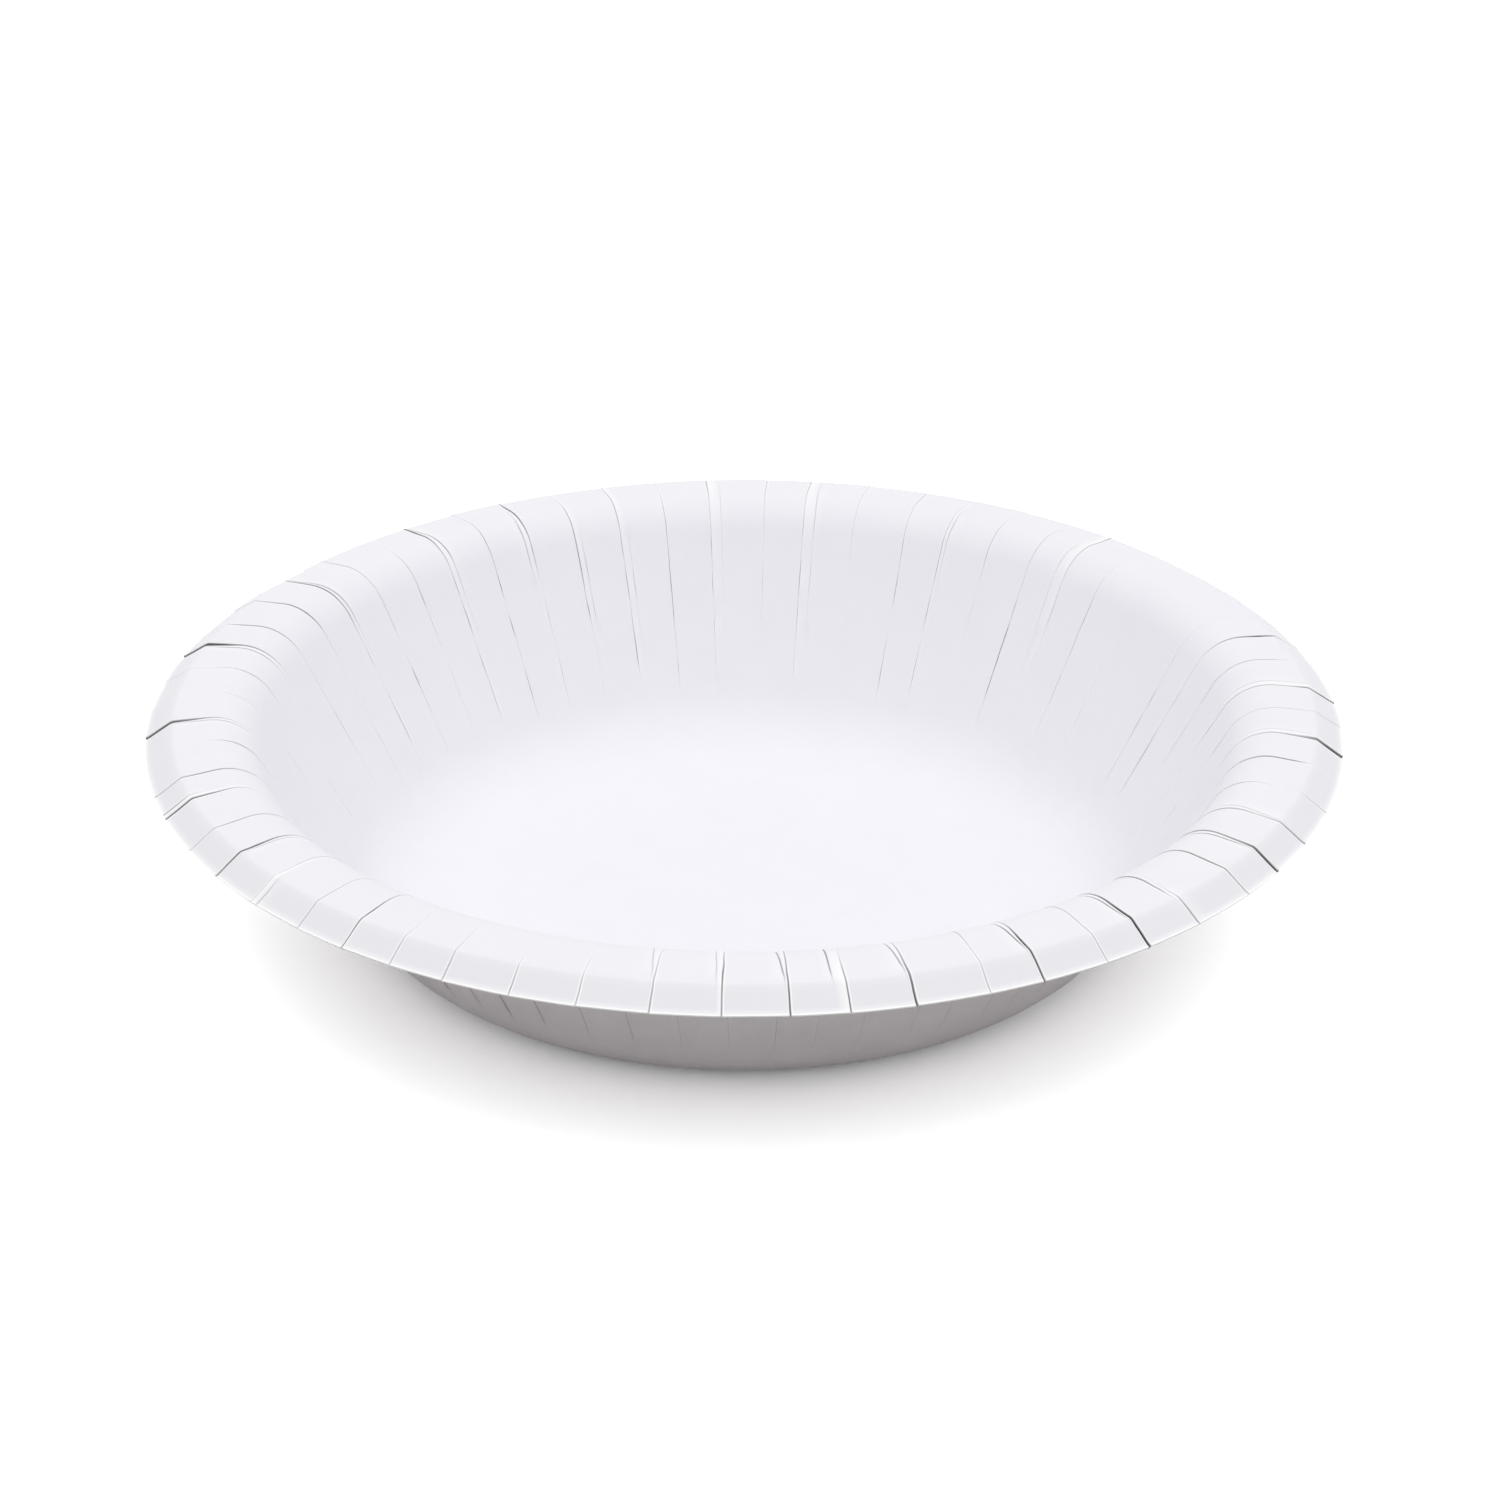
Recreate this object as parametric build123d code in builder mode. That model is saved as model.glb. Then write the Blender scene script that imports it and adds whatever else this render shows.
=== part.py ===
from build123d import *
from math import cos, degrees, radians, sin, tan
import os

os.makedirs("parts", exist_ok=True)

# Driving sizes of the pressed sheet, in millimetres and degrees
RIM_DIAMETER = 184.0
HEIGHT = 34.3
PAPER = 0.4
WALL_ANGLE = 60.0
FOOT_RADIUS = 12.5
SHOULDER_RADIUS = 8.0
FLANGE_WIDTH = 10.55
FLANGE_FALL = 6.0
BEND_RADIUS = 2.0
SKIRT_WIDTH = 4.2
SKIRT_FALL = 35.0
FLOOR_MARGIN = 2.0

# Driving sizes of the folds pressed into it
PLEATS = 60
FIRST_PLEAT = 4.0
FOLD_DEPTH = 0.3
FOLD_WIDTH = 0.5
FOLD_FADE = 10.0
FOLD_CLEARANCE = 1.0


def headed(angle):
    """A unit step along the section, at this rise above the level."""
    return Vector(cos(radians(angle)), sin(radians(angle)))


def below(corner, before, after, depth):
    """The corner between two straight runs, moved to the line this far below them."""
    mean = (before + after) / 2
    turn = (before - after) / 2
    return corner + headed(mean - 90) * (depth / cos(radians(turn)))


# Corners of the sheet's top face, where its straight runs would meet without their curves
shoulder_reach = SHOULDER_RADIUS * tan(radians((WALL_ANGLE + FLANGE_FALL) / 2))
crest_over_start = SHOULDER_RADIUS * (1 - cos(radians(WALL_ANGLE)))
corner_over_crest = shoulder_reach * sin(radians(WALL_ANGLE)) - crest_over_start
bend_x = RIM_DIAMETER / 2 - SKIRT_WIDTH
shoulder = Vector(bend_x - FLANGE_WIDTH, HEIGHT - FOLD_DEPTH / 2 + corner_over_crest)
bend = Vector(bend_x, shoulder.Y - FLANGE_WIDTH * tan(radians(FLANGE_FALL)))
edge = bend + headed(-SKIRT_FALL) * (SKIRT_WIDTH / cos(radians(SKIRT_FALL)))
foot = Vector(shoulder.X - (shoulder.Y - PAPER) / tan(radians(WALL_ANGLE)), PAPER)

# The folds leave the wall just above the curve of the foot and are full a little higher
foot_reach = FOOT_RADIUS * tan(radians(WALL_ANGLE / 2))
floor_radius = foot.X - foot_reach - FLOOR_MARGIN
fold_start = foot + headed(WALL_ANGLE) * (foot_reach + FOLD_CLEARANCE)
fold_full = fold_start + headed(WALL_ANGLE) * FOLD_FADE
outward = headed(WALL_ANGLE - 90)


def foot_line(depth):
    """One face of the sheet at this depth in it, from the floor up to where the folds start."""
    return FilletPolyline(
        (floor_radius, PAPER - depth),
        below(foot, 0, WALL_ANGLE, depth),
        fold_start + outward * depth,
        radius=(FOOT_RADIUS + depth,),
    )


def wall_line(depth, drop, stretch):
    """One face of the sheet from there to the edge, let down by a fold's drop."""
    low = depth + drop
    points = (
        fold_start + outward * depth,
        fold_full + outward * low,
        below(shoulder, WALL_ANGLE, -FLANGE_FALL, low),
        below(bend, -FLANGE_FALL, -SKIRT_FALL, low),
        edge + headed(-SKIRT_FALL - 90) * low,
    )
    return FilletPolyline(
        *(Vector(point.X * stretch, point.Y) for point in points),
        radius=(0, SHOULDER_RADIUS - low, BEND_RADIUS - low),
    )


def close_sheet(top, under):
    """The two cut ends between the sheet's faces."""
    Line(top @ 0, under @ 0)
    Line(top @ 1, under @ 1)


pitch = 360 / PLEATS
flank = degrees(2 * FOLD_WIDTH / RIM_DIAMETER)
on_chord = cos(radians(pitch / 2)) / cos(radians(pitch / 2 - flank))

# One plain panel of the foot
with BuildPart() as foot_panel:
    for turn in (0, pitch):
        with BuildSketch(Plane.XZ.rotated((0, 0, turn))):
            with BuildLine():
                close_sheet(foot_line(0), foot_line(PAPER))
            make_face()
    loft(ruled=True)

# One panel of wall and rim: a narrow flank rises out of a fold, then it falls to the next fold
half = FOLD_DEPTH / 2
with BuildPart() as wall_panel:
    for turn, drop, stretch in ((0, half, 1), (flank, -half, on_chord), (pitch, half, 1)):
        with BuildSketch(Plane.XZ.rotated((0, 0, turn))):
            with BuildLine():
                close_sheet(wall_line(0, drop, stretch), wall_line(PAPER, drop, stretch))
            make_face()
    loft(ruled=True)

# The flat floor, with a panel of foot and of pleated wall for every fold round it
with BuildPart() as bowl:
    with BuildSketch():
        RegularPolygon(floor_radius, PLEATS, rotation=FIRST_PLEAT)
    extrude(amount=PAPER)
    with PolarLocations(0, PLEATS, start_angle=FIRST_PLEAT):
        add(foot_panel.part)
        add(wall_panel.part)

bowl.part.label = "bowl"
export_step(bowl.part, "parts/bowl.step")
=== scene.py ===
# %% [markdown]
# # A pleated paper bowl
# The bowl is one round blank of white coated board, pressed between two dies. The blank has no
# room for all its rim once the wall stands up, so the spare board is gathered into sixty folds.
# This lesson loads the measured solid, presses a finer sheet over it and gives it a paper finish.

# %% Load the measured frame
import math
import bmesh
import bpy
import numpy as np
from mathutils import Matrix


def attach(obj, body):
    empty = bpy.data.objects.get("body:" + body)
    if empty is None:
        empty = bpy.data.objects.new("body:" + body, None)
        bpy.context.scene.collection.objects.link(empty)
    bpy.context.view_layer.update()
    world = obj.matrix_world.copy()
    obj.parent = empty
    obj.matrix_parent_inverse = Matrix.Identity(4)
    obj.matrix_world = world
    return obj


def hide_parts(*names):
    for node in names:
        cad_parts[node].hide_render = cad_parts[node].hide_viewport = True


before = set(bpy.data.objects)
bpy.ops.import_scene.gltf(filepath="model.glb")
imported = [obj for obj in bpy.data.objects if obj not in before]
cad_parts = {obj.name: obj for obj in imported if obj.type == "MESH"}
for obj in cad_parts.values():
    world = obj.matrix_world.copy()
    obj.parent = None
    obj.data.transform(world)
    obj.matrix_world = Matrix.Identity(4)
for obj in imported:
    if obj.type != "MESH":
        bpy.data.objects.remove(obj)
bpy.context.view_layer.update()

# %% [markdown]
# ## Small helpers for node trees
# Node trees are mostly wired by hand in the node editor. Here they are built in code, so that every
# size has a name and the lesson runs by itself. A few helpers keep that short: one gives a socket a
# value or a link, one adds a node, two add steps of arithmetic, one moves a value from one range to
# another, and two name what goes into a group and what comes out of it.

# %% Node helpers
def feed(tree, socket, value):
    """Links another socket to this one, or sets its value."""
    if isinstance(value, bpy.types.NodeSocket):
        tree.links.new(value, socket)
    else:
        socket.default_value = value


def add(tree, kind, inputs=None, **settings):
    """A new node with its settings and its inputs by name or number."""
    made = tree.nodes.new(kind)
    for name, value in settings.items():
        setattr(made, name, value)
    for name, value in (inputs or {}).items():
        feed(tree, made.inputs[name], value)
    return made


def calc(tree, operation, *values, clamp=False):
    """One step of arithmetic on numbers."""
    made = add(tree, "ShaderNodeMath", dict(enumerate(values)), operation=operation)
    made.use_clamp = clamp
    return made.outputs[0]


def product(tree, *values):
    """Numbers multiplied one after another."""
    result = values[0]
    for value in values[1:]:
        result = calc(tree, "MULTIPLY", result, value)
    return result


def remap(tree, value, span, to=(0.0, 1.0)):
    """A value moved from one range to another and held at both ends."""
    return add(tree, "ShaderNodeMapRange", {"Value": value, "From Min": span[0], "From Max": span[1],
                                            "To Min": to[0], "To Max": to[1]}).outputs[0]


def socket_in(tree, name, kind, value=None):
    """A named input of a group."""
    made = tree.interface.new_socket(name=name, in_out="INPUT", socket_type="NodeSocket" + kind)
    if value is not None:
        made.default_value = value


def socket_out(tree, name, kind):
    """A named output of a group."""
    tree.interface.new_socket(name=name, in_out="OUTPUT", socket_type="NodeSocket" + kind)


print("helpers ready")

# %% [markdown]
# ## The section
# Cut through the bowl and the sheet shows as one thin line: flat floor, a wide curve at the foot,
# a straight wall, a rounded shoulder, a flange that falls a little and a skirt that falls more.
# It could be drawn by hand as a curve, but straight runs joined by true arcs are what the press
# has, so the line is worked out from the corners and their radii, in millimetres. The last strip
# before the edge is lifted a little, as a cut edge is.

# %% Section of the sheet
PAPER = 0.4
CORNERS = ((0.0, PAPER), (57.48, PAPER), (77.25, 34.65), (87.8, 33.54), (92.0, 30.6))
RADII = (12.5, 8.0, 1.6)
ARC_STEPS = (9, 10, 3)
RUN_STEPS = (4, 12, 4, 4)
EDGE_ROWS = (0.9, 0.95, 1.0)
EDGE_STRIP, EDGE_LIFT = 0.55, 0.12


def section_line():
    """Points of the top face from the middle of the floor to the edge, and the sheet's heading there."""
    corner = [np.array(c) for c in CORNERS]
    heading = [math.atan2(*(b - a)[::-1]) for a, b in zip(corner, corner[1:])]
    points, headings, start = [], [], corner[0]
    for i, run in enumerate(heading):
        step = np.array((math.cos(run), math.sin(run)))
        turn = heading[i + 1] - run if i < len(RADII) else 0.0
        reach = RADII[i] * math.tan(abs(turn) / 2) if i < len(RADII) else 0.0
        end = corner[i + 1] - step * reach
        shares = np.linspace(0, 1, RUN_STEPS[i] + 1)[(i > 0):]
        for share in (shares if i < len(RADII) else (*shares[:-1], *EDGE_ROWS)):
            points.append(start + (end - start) * share)
            headings.append(run)
        if i < len(RADII):
            side = math.copysign(RADII[i], turn)
            centre = end + side * np.array((-math.sin(run), math.cos(run)))
            for angle in np.linspace(run, run + turn, ARC_STEPS[i] + 1)[1:]:
                points.append(centre + side * np.array((math.sin(angle), -math.cos(angle))))
                headings.append(angle)
            start = points[-1]
    return np.array(points), np.array(headings)


line, heading = section_line()
along = np.concatenate(([0.0], np.cumsum(np.hypot(*np.diff(line, axis=0).T))))
from_edge = along[-1] - along
line[:, 1] += np.interp(from_edge, (0, EDGE_STRIP), (EDGE_LIFT, 0))
print("section:", len(line), "rows,", round(along[-1], 1), "mm from the middle to the edge")

# %% [markdown]
# ## The fold marks
# No two folds came out of the press alike. Some are deep from the edge to the foot, some show only
# on the wall, and some have a second line beside them. Noise could scatter such differences, but the
# eye knows this bowl by its strong folds, so each fold has a mark: its angle from the front, and how
# strong it is, from 0 to 9, on the skirt, flange and shoulder and high, half way and low on the wall.
# A second line has its distance from its fold at the rim and past the shoulder, where the two part.
# A few folds drift sideways on their way down the wall, and the darkest ones gape at the rim: each
# of their two sides stands off by the degrees given.

# %% Marks of the sixty folds
FOLDS = (
    (-175.7, "553553"), (-170.0, "214664"), (-164.0, "235556"), (-158.0, "225776"), (-152.0, "596634"),
    (-146.3, "015776"), (-140.0, "895665"), (-134.4, "014704"), (-128.2, "144587"), (-122.0, "897636"),
    (-116.3, "158214"), (-110.0, "376243"), (-104.8, "996200"), (-99.0, "016204"), (-92.8, "023220"),
    (-86.5, "983000"), (-81.0, "007200"), (-74.0, "466100"), (-69.3, "982010"), (-62.5, "355100"),
    (-56.8, "894456"), (-50.7, "444567"), (-44.0, "333667"), (-38.4, "783676"), (-33.0, "421667"),
    (-27.5, "421566"), (-21.0, "521565"), (-14.8, "531455"), (-8.3, "542344"), (-2.0, "673343"),
    (4.0, "764334"), (9.3, "650233"), (15.2, "863343"), (22.0, "435233"), (27.3, "893334"),
    (34.0, "445233"), (38.8, "996343"), (44.6, "068334"), (52.5, "577323"), (57.8, "978333"),
    (64.0, "647322"), (70.7, "416410"), (77.0, "187300"), (82.6, "965420"), (89.0, "034655"),
    (94.2, "955652"), (101.0, "055540"), (107.0, "495377"), (112.0, "012475"), (119.0, "311000"),
    (124.0, "111013"), (130.3, "112543"), (136.4, "754520"), (141.5, "124377"), (147.7, "114420"),
    (154.0, "123564"), (159.5, "343556"), (166.0, "233200"), (172.5, "443553"), (177.5, "343330"),
)
SECOND_LINES = (
    (-175.7, -1.4, -1.4, "023320"), (-164.0, -1.0, -1.0, "000450"), (-158.0, -0.8, -0.8, "000550"),
    (-152.0, 0.3, 0.7, "006600"), (-140.0, -0.3, -0.8, "067500"), (-122.0, -0.3, -0.6, "068500"),
    (-104.8, 0.55, 0.75, "078300"), (-86.5, 0.42, 0.6, "067200"), (-69.3, -0.9, -0.9, "800000"),
    (-56.8, 0.3, 0.6, "055000"), (-50.7, 0.8, 0.8, "500000"), (-8.3, -0.3, -1.1, "044200"),
    (-2.0, -0.6, -0.9, "044200"), (4.0, -0.3, -0.9, "066300"), (9.3, -1.2, -1.2, "067300"),
    (15.2, -0.3, -0.8, "066300"), (27.3, -0.3, -0.8, "078400"), (38.8, -0.3, -0.7, "078400"),
    (44.6, 0.5, 0.9, "730000"), (57.8, -0.4, -0.75, "079500"), (64.0, 0.3, 0.9, "055400"),
    (82.6, 1.0, 1.0, "044000"), (94.2, 1.1, 1.1, "045000"), (136.4, 1.2, 1.4, "004420"),
    (154.0, -0.5, -0.5, "005300"), (172.5, -1.2, -1.4, "034430"),
)
DRIFT = {57.8: 0.6, 82.6: 0.8, 94.2: 1.0, 136.4: -0.8, 22.0: 0.5, 159.5: -0.4}
GAPE = {-104.8: 0.22, -86.5: 0.14, -69.3: 0.05, 57.8: 0.1, 82.6: 0.22, 94.2: 0.05, 107.0: 0.08}
print("marks:", len(FOLDS), "folds,", len(SECOND_LINES), "second lines,", len(GAPE), "gaping")

# %% [markdown]
# ## Columns of the sheet
# The sheet needs many points where a fold turns sharply and few where a panel is plain. An even grid
# fine enough for the folds would be far too heavy, so the columns are drawn close round each line
# and only four cross the rest of a panel. By every column stand its offset from the line in degrees,
# how far the sheet rises or sinks there, how much painted shade darkens the fold there and how much
# painted highlight whitens it.
# A panel between two folds is a little flatter than the round, and laps over one of its neighbours.

# %% Columns round the folds
# Each column: offset in degrees, rise or sink of the groove, painted shade in the fold gap, and painted
# highlight on its lips.
BY_A_FOLD = (
    (-0.32, 0.0, 0.0, 0.0), (-0.22, 0.06, 0.0, 1.0), (-0.12, 0.12, 0.0, 1.0), (-0.06, -0.6, 0.9, 0.0),
    (0.0, -1.0, 1.0, 0.0),
    (0.06, -0.6, 0.9, 0.0), (0.12, 0.12, 0.0, 1.0), (0.22, 0.06, 0.0, 1.0), (0.32, 0.0, 0.0, 0.0),
)
BY_A_SECOND_LINE = (
    (-0.13, 0.04, 0.0, 0.4), (-0.06, -0.5, 0.9, 0.0), (0.0, -0.8, 1.0, 0.0), (0.06, -0.5, 0.9, 0.0),
    (0.13, 0.04, 0.0, 0.4),
)
PLAIN, PLAIN_MARK = (0.0, 0.0, 0.0, 0.0), "000000"
MIDDLE = len(BY_A_FOLD) // 2
OUTER_COLUMNS = 2
PANEL_COLUMNS = 4
PANEL_FLATNESS = 0.4
HALF_LAP = 0.5
FRONT = 90


def strengths(mark):
    """The six digits of a mark as shares."""
    return [int(digit) / 9 for digit in mark]


def second_line(fold, side):
    """Columns of the second line on one side of a fold, if it has one there."""
    return [(fold + near, by, far - near, mark) for owner, near, far, mark in SECOND_LINES
            if owner == fold and near * side > 0 for by in BY_A_SECOND_LINE]


columns = []
for k, (turn, mark) in enumerate(FOLDS):
    following, after_mark = FOLDS[(k + 1) % len(FOLDS)]
    lapped = 360 if following < turn else 0
    after = following + lapped
    first = [(turn, by, 0.0, mark) for by in BY_A_FOLD[MIDDLE:]]
    last = [(after, by, 0.0, after_mark) for by in BY_A_FOLD[:MIDDLE]]
    if second_line(turn, 1):
        first = first[:-OUTER_COLUMNS] + second_line(turn, 1)
    if second_line(following, -1):
        beside = [(angle + lapped, *rest) for angle, *rest in second_line(following, -1)]
        last = beside + last[OUTER_COLUMNS:]
    ends = [angle + fork + by[0] for angle, by, fork, _ in (first[-1], last[0])]
    across = [(angle, PLAIN, 0.0, PLAIN_MARK) for angle in np.linspace(*ends, PANEL_COLUMNS + 2)[1:-1]]
    drift, next_drift = DRIFT.get(turn, 0.0), DRIFT.get(following, 0.0)
    gape = {turn: GAPE.get(turn, 0.0), after: GAPE.get(following, 0.0)}
    lap, next_lap = math.copysign(HALF_LAP, turn), math.copysign(HALF_LAP, following)
    middle, half = (turn + after) / 2, (after - turn) / 2
    for angle, (off, groove, shade, lip), fork, own in first + across + last:
        share = (angle + off - turn) / (after - turn)
        flat = math.cos(math.radians(half)) / math.cos(math.radians(angle + off - middle))
        chord = 1 + (flat - 1) * PANEL_FLATNESS
        lean = 0.0 if share == 0 else lap * (1 - share) - next_lap * share
        columns.append((angle - FRONT, off, drift + (next_drift - drift) * share, fork,
                        gape.get(angle, 0.0) * np.sign(off), groove, shade, lip, chord, lean, k, share,
                        *strengths(own)))
columns = np.array(columns)
print("columns:", len(columns), "round the folds and across the panels")

# %% [markdown]
# ## Guide of the rows
# The tree needs the section and the marks as geometry, because that is what a node can read. Each
# becomes a small mesh of loose points with its numbers stored as attributes. This one has a point
# for every row of the sheet, top face outwards and underside back. The rows also say how a fold
# changes on its way in from the edge: for each effect there are distances from the edge in
# millimetres and what holds there, and where only the face has it, the underside's value.

# %% Row guide
MM = 0.001
ZONES = (3.0, 8.0, 15.5, 23.0, 31.0, 39.0)
RIM_ZONES = 3
FAR = 1e9
FOLD_RISE = (6.9, 10.5)
PANEL_RISE = (7.5, 16.2)
ON_THE_FACE = {
    "width": ((12, 24), (1, 0.55), 1),
    "faint": ((13, 22), (1, 0.6), 1),
    "patchy": ((16, 24), (0, 0.9), 0),
    # Painted shade on the turned-down skirt, fading out over the bend.
    "margin": ((3.6, 5.6), (1, 0), 0),
}
ON_BOTH_SIDES = {
    # Painted highlight along the cut edge, fading out over its last half millimetre.
    "rubbed": ((0.36, 0.55), (1, 0)),
    "forked": ((7, 16), (0, 1)),
    "gaping": ((5, 11), (1, 0)),
    # How much of the painted highlight beside the folds shows, from the rim down the wall.
    "bright": ((5, 9, 16, 24), (1, 0.75, 0.5, 0.25)),
    "open": ((0, 3), (0.4, 0)),
}


def guide(name, places, numbers, vectors):
    """Loose points with named numbers and vectors stored on them."""
    mesh = bpy.data.meshes.new(name)
    mesh.from_pydata([tuple(p) for p in places], [], [])
    for label, values in numbers.items():
        stored = mesh.attributes.new(label, "FLOAT", "POINT").data
        stored.foreach_set("value", np.asarray(values, np.float32))
    for label, values in vectors.items():
        stored = mesh.attributes.new(label, "FLOAT_VECTOR", "POINT").data
        stored.foreach_set("vector", np.asarray(values, np.float32).ravel())
    return bpy.data.objects.new(name, mesh)


none, height = np.zeros(len(line)), line[:, 1]
there_and_back = np.r_[np.arange(len(line)), np.arange(len(line))[::-1]]
stops, last_zone = (-FAR, *ZONES, FAR), len(ZONES) - 1
zone = np.array([np.interp(from_edge, stops[i:i + 3], (float(i == 0), 1, float(i == last_zone)))
                 for i in range(len(ZONES))]).T
zone *= np.interp(height, FOLD_RISE, (0, 1))[:, None]
row_numbers = {
    "side": np.r_[none, none + 1],
    "pressed": np.interp(height, PANEL_RISE, (0, 1))[there_and_back],
    "from_edge": from_edge[there_and_back],
}
for name, (places, values, underside) in ON_THE_FACE.items():
    row_numbers[name] = np.r_[np.interp(from_edge, places, values), none + underside]
for name, (places, values) in ON_BOTH_SIDES.items():
    row_numbers[name] = np.interp(from_edge, places, values)[there_and_back]
row_guide = guide(
    "section_guide", np.array((line[:, 0], none, height)).T[there_and_back] * MM, row_numbers,
    {"down": np.array((np.sin(heading), none, -np.cos(heading))).T[there_and_back],
     "rim_zones": zone[there_and_back, :RIM_ZONES], "wall_zones": zone[there_and_back, RIM_ZONES:]})
print("row guide:", len(there_and_back), "rows with", len(row_numbers), "numbers each")

# %% [markdown]
# ## Guide of the columns
# The columns' numbers are those listed round the folds. They could be typed into the tree one by
# one, but stored on points it reads them all alike. Angles become radians, as a node's sine takes them.

# %% Column guide
ANGLES = ("turn", "offset", "drift", "fork", "gape")
NUMBERS = ("groove", "shade", "lip", "chord", "lean", "panel", "share")
parts = np.split(columns, np.cumsum((len(ANGLES), len(NUMBERS), RIM_ZONES)), axis=1)
column_guide = guide(
    "fold_guide", np.c_[np.arange(len(columns)), np.zeros((len(columns), 2))],
    dict(zip(ANGLES + NUMBERS, (*np.radians(parts[0]).T, *parts[1].T))),
    {"rim_marks": parts[2], "wall_marks": parts[3]})
print("column guide:", len(columns), "columns with", len(ANGLES + NUMBERS), "numbers each")

# %% [markdown]
# ## Board fibre and fold shade
# All the board's faces are the same stock: soft clouding a few millimetres across, with fine fibres
# in it. A scanned picture could show that, but noise keeps its scale at any distance and needs no
# file. The faces share it, so it is a group. A second group paints light and shade into the colour:
# painted shade along a fold, where little light gets into the pinched gap, a painted highlight on
# both sides of it and along the cut edge, and painted shade on the turned-down skirt, which looks a
# touch darker than its slope explains. How much of each there is, is what the press stores on the sheet.

# %% Shared paper groups
CLOUD_SHARE = 0.65
BLEND_SPAN = (0.36, 0.64)
FIBRE_SPAN = (0.3, 0.7)
MIX_UNDER, MIX_OVER, MIX_RESULT = 6, 7, 2


def mix_colour(tree, amount, under, over):
    """One colour laid over another by an amount."""
    mixed = add(tree, "ShaderNodeMix", {"Factor": amount, MIX_UNDER: under, MIX_OVER: over},
                data_type="RGBA")
    return mixed.outputs[MIX_RESULT]


def fibre_group():
    """Clouding and fibres of pressed board, as colour, roughness and height."""
    tree = bpy.data.node_groups.new("Board fibre", "ShaderNodeTree")
    for name, value in (("Light", (0.8, 0.8, 0.8, 1)), ("Dark", (0.7, 0.7, 0.7, 1))):
        socket_in(tree, name, "Color", value)
    for name, value in (("Cloud Scale", 110.0), ("Fibre Scale", 1400.0),
                        ("Smoothest", 0.4), ("Roughest", 0.6)):
        socket_in(tree, name, "Float", value)
    for name, kind in (("Color", "Color"), ("Roughness", "Float"), ("Height", "Float")):
        socket_out(tree, name, kind)
    given = add(tree, "NodeGroupInput").outputs
    place = add(tree, "ShaderNodeTexCoord").outputs["Object"]
    cloud = add(tree, "ShaderNodeTexNoise", {
        "Vector": place, "Scale": given["Cloud Scale"], "Detail": 4.0, "Roughness": 0.55}).outputs["Fac"]
    fibre = add(tree, "ShaderNodeTexNoise", {
        "Vector": place, "Scale": given["Fibre Scale"], "Detail": 3.0, "Distortion": 1.6}).outputs["Fac"]
    blend = calc(tree, "ADD", product(tree, cloud, CLOUD_SHARE), product(tree, fibre, 1 - CLOUD_SHARE))
    add(tree, "NodeGroupOutput", {
        "Color": mix_colour(tree, remap(tree, blend, BLEND_SPAN), given["Dark"], given["Light"]),
        "Roughness": remap(tree, fibre, FIBRE_SPAN, (given["Smoothest"], given["Roughest"])),
        "Height": fibre})
    return tree


def fold_group():
    """Lays painted shade on the turned-down skirt, a painted highlight beside the folds and at the cut edge,
    and painted shade along the folds.
    """
    tree = bpy.data.node_groups.new("Fold shade", "ShaderNodeTree")
    socket_in(tree, "Color", "Color")
    # The colours laid on: painted shade for the skirt, a painted highlight, and painted shade in the folds.
    socket_in(tree, "Painted Skirt Shade Color", "Color", (0.847, 0.839, 0.88, 1))
    socket_in(tree, "Painted Highlight Color", "Color", (1, 1, 1, 1))
    socket_in(tree, "Painted Fold Shade Color", "Color", (0.2, 0.19, 0.2, 1))
    socket_in(tree, "Strength", "Float", 0.8)
    socket_out(tree, "Color", "Color")
    given = add(tree, "NodeGroupInput").outputs
    colour = given["Color"]
    for name, over in (("margin", "Painted Skirt Shade Color"), ("rubbed", "Painted Highlight Color"), ("crease", "Painted Fold Shade Color")):
        stored = add(tree, "ShaderNodeAttribute", attribute_name=name).outputs["Fac"]
        amount = calc(tree, "MULTIPLY", stored, given["Strength"], clamp=True)
        colour = mix_colour(tree, amount, colour, given[over])
    add(tree, "NodeGroupOutput", {"Color": colour})
    return tree


board_fibre, fold_shade = fibre_group(), fold_group()
print("groups:", board_fibre.name, "and", fold_shade.name)

# %% [markdown]
# ## Three faces of one board
# The food side has a thin white coating with a soft sheen. The underside is plainer, rougher and a
# little warmer, and the cut edge shows raw fibre. One material could do all three, but then a new
# scene could not repaint them one by one, so each face has its own and they share the groups.

# %% Paper materials
SPECULAR = 0.2
BUMP_DEPTH = 0.00005


def srgb(red, green, blue):
    """A colour as it looks on screen, out of 255, as the linear values that nodes use."""
    share = [c / 255 for c in (red, green, blue)]
    return (*(c / 12.92 if c <= 0.04045 else ((c + 0.055) / 1.055) ** 2.4 for c in share), 1.0)


def paper(name, light, dark, smoothest, roughest, bump, fold, fold_strength):
    """A face of the board."""
    material = bpy.data.materials.new(name)
    material.use_nodes = True
    tree = material.node_tree
    fibre = add(tree, "ShaderNodeGroup", node_tree=board_fibre)
    for label, value in (("Light", light), ("Dark", dark),
                         ("Smoothest", smoothest), ("Roughest", roughest)):
        feed(tree, fibre.inputs[label], value)
    # fold is the colour of the painted shade in the folds; fold_strength scales all the painted shade and
    # highlight.
    folds = add(tree, "ShaderNodeGroup", node_tree=fold_shade)
    for label, value in (("Color", fibre.outputs["Color"]), ("Painted Fold Shade Color", fold),
                         ("Strength", fold_strength)):
        feed(tree, folds.inputs[label], value)
    relief = add(tree, "ShaderNodeBump", {"Height": fibre.outputs["Height"], "Strength": bump,
                                          "Distance": BUMP_DEPTH})
    surface = tree.nodes["Principled BSDF"].inputs
    feed(tree, surface["Base Color"], folds.outputs["Color"])
    feed(tree, surface["Roughness"], fibre.outputs["Roughness"])
    feed(tree, surface["Normal"], relief.outputs["Normal"])
    surface["Specular IOR Level"].default_value = SPECULAR
    return material


# fold: the colour of the painted shade in each face's folds.
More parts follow.
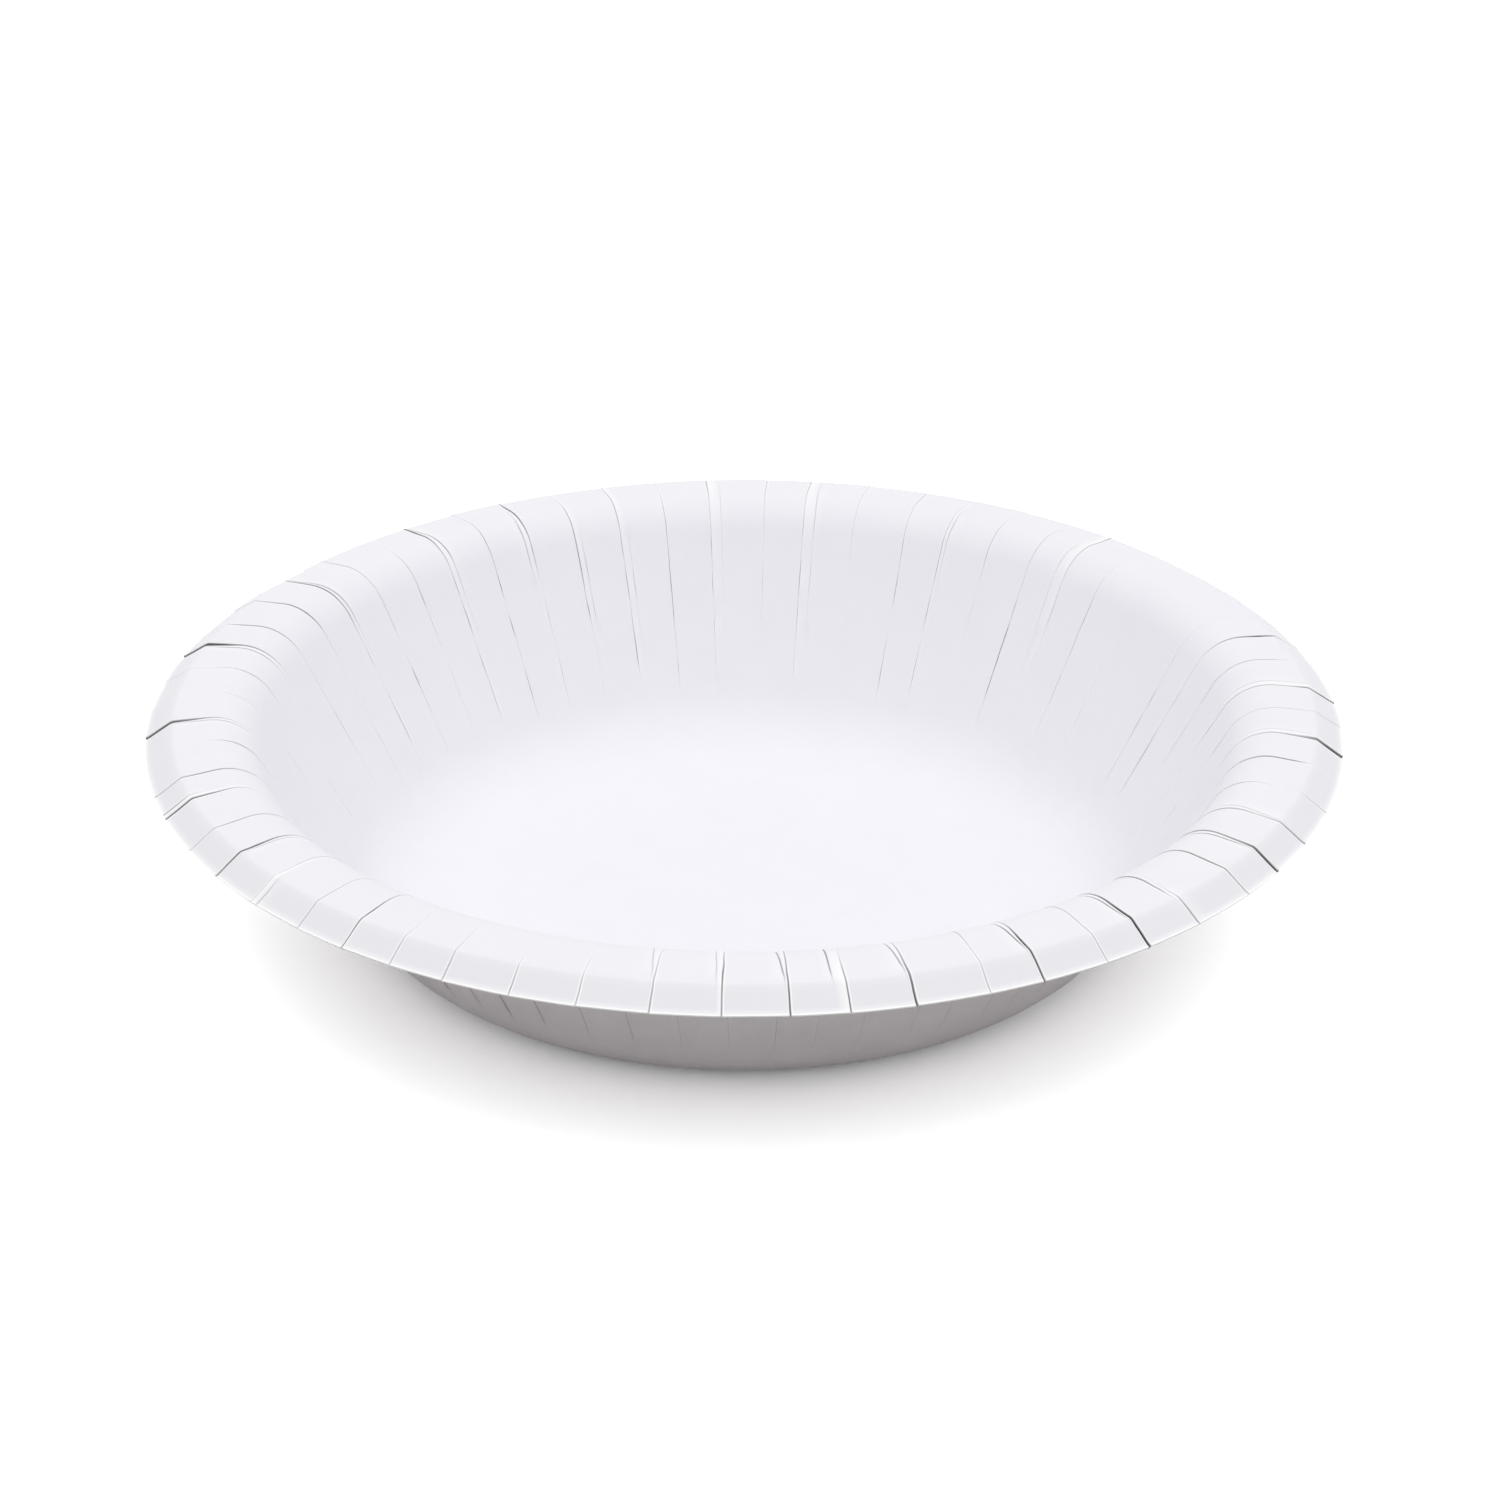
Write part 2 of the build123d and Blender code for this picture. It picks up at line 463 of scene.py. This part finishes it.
coated = paper("coated_face", light=srgb(241, 240, 245), dark=srgb(239, 238, 244), smoothest=0.5,
               roughest=0.64, bump=0.25, fold=srgb(20, 20, 24), fold_strength=0.97)
plain = paper("plain_underside", light=srgb(238, 232, 233), dark=srgb(230, 224, 225), smoothest=0.62,
              roughest=0.8, bump=0.5, fold=srgb(70, 64, 64), fold_strength=0.9)
raw = paper("raw_edge", light=srgb(230, 229, 234), dark=srgb(220, 219, 224), smoothest=0.55,
            roughest=0.7, bump=0.4, fold=srgb(60, 58, 60), fold_strength=0.8)
print("materials:", coated.name, plain.name, raw.name)

# %% [markdown]
# ## The press: inputs and grid
# The whole sheet follows one rule: every point has a row of the section and a column of the fold
# marks. A lathe (the Screw modifier) would turn the section but could not fold it, and sculpting
# sixty folds would be slow and never even. A Geometry Nodes tree does it: it lays a grid, looks up
# each point's row and column in the guides, and moves the point to where they say.

# %% Inputs and grid of the press
PRESS_SIZES = {"Fold Depth": 0.0003, "Lap Height": 0.00016, "Paper": PAPER * MM,
               "Panel Play": 0.00012, "Wobble": 0.004}
PRESS_COUNTS = {"Folds": len(FOLDS), "Seed": 7}
INTO_THE_CELL = 0.5


def press_inputs(tree):
    """Names what the press takes and gives, and hands out its inputs."""
    socket_in(tree, "Fold Marks", "Geometry")
    socket_in(tree, "Section", "Object")
    for name, value in PRESS_SIZES.items():
        socket_in(tree, name, "Float", value)
    for name, value in PRESS_COUNTS.items():
        socket_in(tree, name, "Int", value)
    for name in ("Face", "Underside", "Edge"):
        socket_in(tree, name, "Material")
    socket_out(tree, "Sheet", "Geometry")
    return add(tree, "NodeGroupInput").outputs


def lay_grid(tree, given):
    """A flat grid with a point for every row and column, and what reads each guide there."""
    marks = given["Fold Marks"]
    section = add(tree, "GeometryNodeObjectInfo", {"Object": given["Section"]}).outputs["Geometry"]
    across, rows = [add(tree, "GeometryNodeAttributeDomainSize", {"Geometry": g}).outputs["Point Count"]
                    for g in (marks, section)]
    grid = add(tree, "GeometryNodeMeshGrid", {
        "Vertices X": calc(tree, "ADD", across, 1.0), "Vertices Y": rows}).outputs["Mesh"]
    index = add(tree, "GeometryNodeInputIndex").outputs[0]
    row = calc(tree, "MODULO", index, rows)
    strip = calc(tree, "FLOOR", calc(tree, "DIVIDE", calc(tree, "ADD", index, INTO_THE_CELL), rows))
    column = calc(tree, "MODULO", strip, across)

    def reader(source, at):
        """What looks up a stored number or vector of one guide's points."""
        def read(name, kind="FLOAT"):
            if name == "position":
                value = add(tree, "GeometryNodeInputPosition").outputs[0]
            else:
                value = add(tree, "GeometryNodeInputNamedAttribute", {"Name": name},
                            data_type=kind).outputs["Attribute"]
            return add(tree, "GeometryNodeSampleIndex", {"Geometry": source, "Value": value, "Index": at},
                       data_type=kind).outputs["Value"]
        return read

    return grid, reader(section, row), reader(marks, column)


print("press sizes:", PRESS_SIZES)

# %% [markdown]
# ## The press: strength and angle of a fold
# Nobody pressed these folds with a ruler: on the wall a fold comes and goes, and it wanders a little
# on its way down. Each could be drawn as a curve, but noise along the fold gives both, and a fixed
# seed keeps it the same. A strong fold is also wider, so its columns stand further apart.

# %% Strength and angle of a fold
DASHES, WANDER = (3.1, 3.4), (7.3, 4.5)
DASH_SPAN, DASH_GAIN = (-0.09, 0.05), (-1.0, 0.1)
FAINT_WIDTH, ADDED_WIDTH = 0.52, 0.43
DRIFT_RUN = 30.0


def noise_along(tree, given, row, number, apart, size):
    """Noise along one fold, from about -0.5 to 0.5."""
    path = add(tree, "ShaderNodeCombineXYZ", {0: product(tree, number, apart), 1: calc(
        tree, "DIVIDE", row("from_edge"), size), 2: given["Seed"]}).outputs[0]
    value = add(tree, "ShaderNodeTexNoise", {"Vector": path, "Scale": 1.0}).outputs["Fac"]
    return calc(tree, "SUBTRACT", value, 0.5)


def fold_strength(tree, given, row, column):
    """How strong a fold is at a point: its marks, broken into dashes on the wall."""
    by_zone = [add(tree, "ShaderNodeVectorMath", {
        0: column(part + "_marks", "FLOAT_VECTOR"), 1: row(part + "_zones", "FLOAT_VECTOR")},
        operation="DOT_PRODUCT").outputs["Value"] for part in ("rim", "wall")]
    nearest = calc(tree, "ADD", column("panel"), calc(tree, "ROUND", column("share")))
    fold = calc(tree, "MODULO", nearest, given["Folds"])
    dashes = remap(tree, noise_along(tree, given, row, fold, *DASHES), DASH_SPAN, DASH_GAIN)
    kept = calc(tree, "ADD", 1.0, product(tree, dashes, row("patchy")))
    return product(tree, calc(tree, "ADD", *by_zone), kept)


def fold_turn(tree, given, row, column, strength):
    """The angle of a point round the axis."""
    panel = column("panel")
    after = calc(tree, "MODULO", calc(tree, "ADD", panel, 1.0), given["Folds"])
    this_one, next_one = [noise_along(tree, given, row, number, *WANDER) for number in (panel, after)]
    change = product(tree, calc(tree, "SUBTRACT", next_one, this_one), column("share"))
    wander = calc(tree, "ADD", this_one, change)
    shift = product(tree, wander, product(tree, given["Wobble"], row("pressed")))
    drift = product(tree, column("drift"), calc(tree, "DIVIDE", row("from_edge"), DRIFT_RUN, clamp=True))
    wider = calc(tree, "ADD", FAINT_WIDTH, product(tree, strength, ADDED_WIDTH))
    beside = product(tree, column("offset"), wider, row("width"))
    beside = calc(tree, "ADD", beside, product(tree, column("gape"), row("gaping")))
    fork = product(tree, column("fork"), row("forked"))
    return calc(tree, "ADD", calc(tree, "ADD", column("turn"), beside),
                calc(tree, "ADD", fork, calc(tree, "ADD", shift, drift)))


print("folds wander by up to", math.degrees(PRESS_SIZES["Wobble"] / 2), "degrees")

# %% [markdown]
# ## The press: how the sheet rises and falls
# Where a fold is strong the board is pressed into a groove, a panel laps over the next one there, and
# the panels sit a little unevenly at the rim. A bump in the material could hint at that, but only
# moved points change the outline and catch the light from every side, so each point moves square to
# the sheet. The same strength says how much painted shade and painted highlight the board gets there.

# %% Height and place of a point
PLAY_REACH = 14.0
RANDOM_MIN, RANDOM_MAX, RANDOM_NUMBER = 2, 3, 1
SHADE_POWER = 2.0
HIGHLIGHT_GAIN = 2.0


def sheet_lift(tree, given, row, column, strength):
    """How far a point rises: a groove or lip of its fold, the lap and the play of its panel."""
    opened = product(tree, strength, calc(tree, "ADD", 1.0, row("open")))
    groove = product(tree, column("groove"), opened, given["Fold Depth"])
    lap = product(tree, column("lean"), row("pressed"), product(tree, strength, given["Lap Height"]))
    chance = add(tree, "FunctionNodeRandomValue", {
        RANDOM_MIN: -1.0, RANDOM_MAX: 1.0, "ID": column("panel"), "Seed": given["Seed"]}, data_type="FLOAT")
    near_rim = remap(tree, row("from_edge"), (0.0, PLAY_REACH), (1.0, 0.0))
    play = product(tree, chance.outputs[RANDOM_NUMBER], near_rim, given["Panel Play"])
    return calc(tree, "ADD", calc(tree, "ADD", groove, lap), play)


def sheet_place(tree, given, row, column, turn, lift):
    """The section's point, turned to its angle and let down through the board."""
    sine, cosine = calc(tree, "SINE", turn), calc(tree, "COSINE", turn)

    def turned(vector, stretch):
        """A vector of the section, turned round the axis."""
        parts = add(tree, "ShaderNodeSeparateXYZ", {0: vector}).outputs
        reach = product(tree, parts[0], stretch)
        return add(tree, "ShaderNodeCombineXYZ", {
            0: product(tree, reach, cosine), 1: product(tree, reach, sine), 2: parts[2]}).outputs[0]

    flatter = calc(tree, "SUBTRACT", column("chord"), 1.0)
    straight = calc(tree, "ADD", 1.0, product(tree, row("pressed"), flatter))
    below = calc(tree, "SUBTRACT", product(tree, row("side"), given["Paper"]), lift)
    base = turned(row("position", "FLOAT_VECTOR"), straight)
    down = turned(row("down", "FLOAT_VECTOR"), 1.0)
    let_down = add(tree, "ShaderNodeVectorMath", {0: down, "Scale": below}, operation="SCALE").outputs[0]
    return add(tree, "ShaderNodeVectorMath", {0: base, 1: let_down}, operation="ADD").outputs[0]


def fold_looks(tree, row, column, strength):
    """What the materials read: how much painted shade lies in a fold and on the skirt, how much painted
    highlight beside it, and which face it is.
    """
    # Painted shade in the fold, deepest where the fold is strongest.
    fold_shadow = product(tree, calc(tree, "POWER", strength, SHADE_POWER), row("faint"))
    # Painted highlight on the lips of a strong fold, kept together with the cut edge's.
    lip_highlights = product(tree, calc(tree, "MULTIPLY", strength, HIGHLIGHT_GAIN, clamp=True), column("lip"), row("bright"))
    return {"crease": calc(tree, "MULTIPLY", fold_shadow, column("shade"), clamp=True),
            "rubbed": calc(tree, "MAXIMUM", row("rubbed"), lip_highlights),
            "margin": row("margin"), "side": row("side")}


print("play of a panel:", PRESS_SIZES["Panel Play"] / MM, "mm within", PLAY_REACH, "mm of the edge")

# %% [markdown]
# ## The press: the whole tree
# Now the steps are joined. The grid's first and last columns meet in one place, and all its columns
# meet in the middle of the floor. The points there could be stitched by number, but merging what lies
# together closes the sheet in one step. Each face then gets its material by the side it is on: the
# faces between the two sides are the cut edge.

# %% Geometry Nodes tree of the press
MERGE = 0.000002
EDGE_FROM, UNDERSIDE_FROM = 0.25, 0.75


def press_tree():
    """Presses a sheet to the section, with the folds that the marks give."""
    tree = bpy.data.node_groups.new("Press pleated sheet", "GeometryNodeTree")
    tree.is_modifier = True
    given = press_inputs(tree)
    sheet, row, column = lay_grid(tree, given)
    strength = fold_strength(tree, given, row, column)
    turn = fold_turn(tree, given, row, column, strength)
    lift = sheet_lift(tree, given, row, column, strength)
    place = sheet_place(tree, given, row, column, turn, lift)
    for name, value in fold_looks(tree, row, column, strength).items():
        sheet = add(tree, "GeometryNodeStoreNamedAttribute", {
            "Geometry": sheet, "Name": name, "Value": value},
            data_type="FLOAT", domain="POINT").outputs["Geometry"]
    for step, extra in (("SetPosition", {"Position": place}), ("MergeByDistance", {"Distance": MERGE}),
                        ("SetShadeSmooth", {}), ("RealizeInstances", {})):
        sheet = add(tree, "GeometryNode" + step, {"Geometry": sheet, **extra}).outputs[0]
    side = add(tree, "GeometryNodeInputNamedAttribute", {"Name": "side"}, data_type="FLOAT")
    on_face = add(tree, "GeometryNodeFieldOnDomain", {0: side.outputs["Attribute"]},
                  data_type="FLOAT", domain="FACE").outputs[0]
    for name, start in (("Face", None), ("Edge", EDGE_FROM), ("Underside", UNDERSIDE_FROM)):
        where = {} if start is None else {"Selection": calc(tree, "GREATER_THAN", on_face, start)}
        sheet = add(tree, "GeometryNodeSetMaterial", {
            "Geometry": sheet, "Material": given[name], **where}).outputs[0]
    add(tree, "NodeGroupOutput", {"Sheet": sheet})
    return tree


press = press_tree()
print("press tree:", len(press.nodes), "nodes")

# %% [markdown]
# ## Pressing the sheet
# The tree now runs once. Its result is copied into a plain mesh and the guides are thrown away, so
# the bowl is an ordinary object from here on. Edges that turn sharply are marked, because paper
# creases hard at a fold and at its cut edge but bends smoothly everywhere else.

# %% Bowl as a plain mesh
SHARP = math.radians(38)
settings = {**PRESS_SIZES, **PRESS_COUNTS, "Section": row_guide,
            "Face": coated, "Underside": plain, "Edge": raw}
scene = bpy.context.scene
scene.collection.objects.link(column_guide)
modifier = column_guide.modifiers.new("press", "NODES")
modifier.node_group = press
for item in press.interface.items_tree:
    if item.in_out == "INPUT" and item.name in settings:
        modifier[item.identifier] = settings[item.name]
bpy.context.view_layer.update()
pressed_mesh = bpy.data.meshes.new_from_object(
    column_guide.evaluated_get(bpy.context.evaluated_depsgraph_get()))
column_guide.modifiers.remove(modifier)
for helper in (column_guide, row_guide):
    bpy.data.objects.remove(helper)

shape = bmesh.new()
shape.from_mesh(pressed_mesh)
bmesh.ops.recalc_face_normals(shape, faces=shape.faces)
shape.to_mesh(pressed_mesh)
open_edges = sum(len(e.link_faces) != 2 for e in shape.edges)
shape.free()
pressed_mesh.set_sharp_from_angle(angle=SHARP)
pressed_mesh.name = "pleated_bowl"
if pressed_mesh.materials[0] is None:
    pressed_mesh.materials.pop(index=0)
bowl = bpy.data.objects.new("pleated_bowl", pressed_mesh)
scene.collection.objects.link(bowl)
pressed_mesh.calc_loop_triangles()
print("bowl:", len(pressed_mesh.loop_triangles), "triangles,", open_edges, "open edges,",
      [m.name for m in pressed_mesh.materials])

# %% [markdown]
# ## Putting the bowl in the frame
# The pressed sheet takes the place of the measured solid, and rides on the only body there is. It
# could lie over the solid instead, but two skins in one place would show through each other.

# %% Bowl in the frame
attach(bowl, "root")
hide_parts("bowl")
print("bowl stands for the solid")

# %% [markdown]
# ## Floor
# The bowl stands on plain white. More light would whiten the floor, but it would wash out the bowl
# too. So the camera sees the floor as white with the bowl's shadow on it, while the light that the
# floor sends back up is held to a pale grey, as from a table, and the underside stays in shade.

# %% Floor
FLOOR_REACH = 4.0
FLOOR_SEEN = (1.97, 2.01, 2.01, 1)
FLOOR_BOUNCED = (0.53, 0.53, 0.53, 1)
floor_mesh = bpy.data.meshes.new("floor")
floor_mesh.from_pydata([(x * FLOOR_REACH, y * FLOOR_REACH, 0)
                        for x, y in ((-1, -1), (1, -1), (1, 1), (-1, 1))], [], [(0, 1, 2, 3)])
floor = bpy.data.objects.new("floor", floor_mesh)
scene.collection.objects.link(floor)
floor_paint = bpy.data.materials.new("floor_white")
floor_paint.use_nodes = True
tree = floor_paint.node_tree
tree.nodes.clear()


def seen_directly(tree):
    """1 for what the camera sees, also in gloss or through glass, and 0 for light that bounces."""
    ray = add(tree, "ShaderNodeLightPath").outputs
    return calc(tree, "MAXIMUM", ray["Is Camera Ray"], calc(
        tree, "MAXIMUM", ray["Is Glossy Ray"], ray["Is Transmission Ray"]))


seen = add(tree, "ShaderNodeBsdfDiffuse", {"Color": FLOOR_SEEN}).outputs[0]
bounced = add(tree, "ShaderNodeBsdfDiffuse", {"Color": FLOOR_BOUNCED}).outputs[0]
mixed = add(tree, "ShaderNodeMixShader", {0: seen_directly(tree), 1: bounced, 2: seen}).outputs[0]
add(tree, "ShaderNodeOutputMaterial", {"Surface": mixed})
floor_mesh.materials.append(floor_paint)
print("floor:", 2 * FLOOR_REACH, "m across")

# %% [markdown]
# ## Light
# The photo's light is soft: it comes from all round, and a broad source overhead leaves a faint
# shadow under the rim. Area lamps could do that, but their light falls off across the bowl. A sun
# with a wide spread stays even, and the world is the dome round it. Together they light the board at
# a plain level, so that a colour comes out about as it is written.

# %% Light
DOME = 0.63
LAMP = 1.23
LAMP_LEAN = (math.radians(2.5), math.radians(2), 0)
LAMP_SPREAD = math.radians(100)
WHITE = (1, 1, 1, 1)
world = bpy.data.worlds.new("studio")
scene.world = world
world.use_nodes = True
tree = world.node_tree
tree.nodes.clear()
dome = add(tree, "ShaderNodeBackground", {"Color": WHITE, "Strength": DOME}).outputs[0]
backdrop = add(tree, "ShaderNodeBackground", {"Color": WHITE, "Strength": 1.0}).outputs[0]
mixed = add(tree, "ShaderNodeMixShader", {0: seen_directly(tree), 1: dome, 2: backdrop}).outputs[0]
add(tree, "ShaderNodeOutputWorld", {"Surface": mixed})
lamp_data = bpy.data.lights.new("overhead", "SUN")
lamp_data.energy = LAMP
lamp_data.angle = LAMP_SPREAD
lamp = bpy.data.objects.new("overhead", lamp_data)
lamp.location = (0, 0, 1)
lamp.rotation_euler = LAMP_LEAN
scene.collection.objects.link(lamp)
scene.view_settings.view_transform = "Standard"
print("light: dome", DOME, "and lamp", LAMP)

# %% [markdown]
# ## Camera
# The photo looks down on the bowl from about 27 degrees, through a long lens. The lens could be
# guessed in millimetres, but it was fitted in pixels of the photo's frame, together with the height
# of the camera. The camera aims at a point on the bowl's axis, and the shift puts that point where
# it is in the photo.

# %% Camera
DISTANCE = 0.8
ELEVATION = math.radians(26.87)
AIM_HEIGHT = 0.020
FOCAL_PX, FRAME_PX = 5155, 1500
AIM_PX = (744.3, 785.2)
SENSOR = 36
camera_data = bpy.data.cameras.new("camera")
camera_data.sensor_width = SENSOR
camera_data.lens = FOCAL_PX / FRAME_PX * SENSOR
camera_data.shift_x = (FRAME_PX / 2 - AIM_PX[0]) / FRAME_PX
camera_data.shift_y = (AIM_PX[1] - FRAME_PX / 2) / FRAME_PX
camera_data.clip_start, camera_data.clip_end = 0.01, 50
camera = bpy.data.objects.new("camera", camera_data)
camera.location = (0, -DISTANCE * math.cos(ELEVATION), AIM_HEIGHT + DISTANCE * math.sin(ELEVATION))
camera.rotation_euler = (math.pi / 2 - ELEVATION, 0, 0)
scene.collection.objects.link(camera)
scene.camera = camera
print("camera:", round(camera_data.lens, 1), "mm lens")

# %% [markdown]
# ## Finish
# Last, the view layer is brought up to date.

# %% Finish
bpy.context.view_layer.update()
